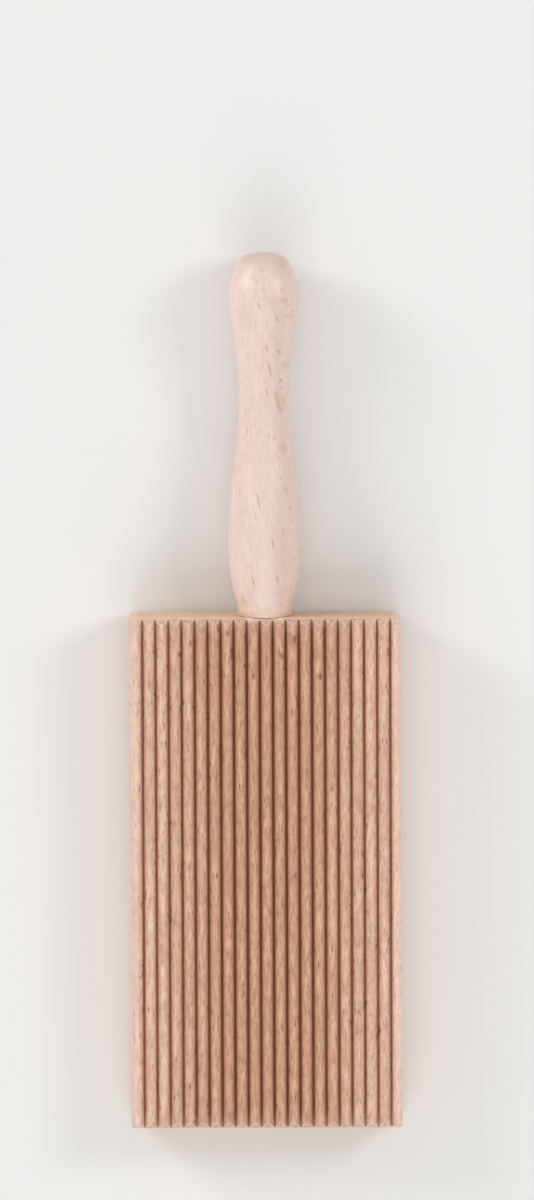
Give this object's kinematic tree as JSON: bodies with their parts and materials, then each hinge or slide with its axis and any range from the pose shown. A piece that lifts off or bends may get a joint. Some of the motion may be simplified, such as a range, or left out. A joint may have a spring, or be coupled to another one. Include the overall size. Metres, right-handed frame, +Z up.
{
  "type": "gnocchi board",
  "caption": "Small flat beech board with lengthwise rounded ridges and a turned waisted handle on its end, for rolling and striping gnocchi.",
  "frame": {"origin": "on the table that the object lies on, under the middle of its bounding box", "axes": "+X across the ridges, +Y along the object from the board's far end to the handle's knob, +Z up out of the ridged face. The board leans 0.70 degrees down towards its far end, because the real one lies on its far back edge and the handle's belly"},
  "size_m": [0.065, 0.2106, 0.0178],
  "materials": {
    "board_beech": "unfinished beech, planed and moulded, fine flecks, end grain at both ends",
    "handle_beech": "unfinished pale beech, turned and sanded smooth, fine flecks along the grain",
    "wood_glue": "dried wood glue, cream, slightly translucent in life"
  },
  "bodies": {
    "root": {"ridged_board": "board_beech", "turned_handle": "handle_beech", "tenon_glue": "wood_glue"}
  },
  "joints": []
}
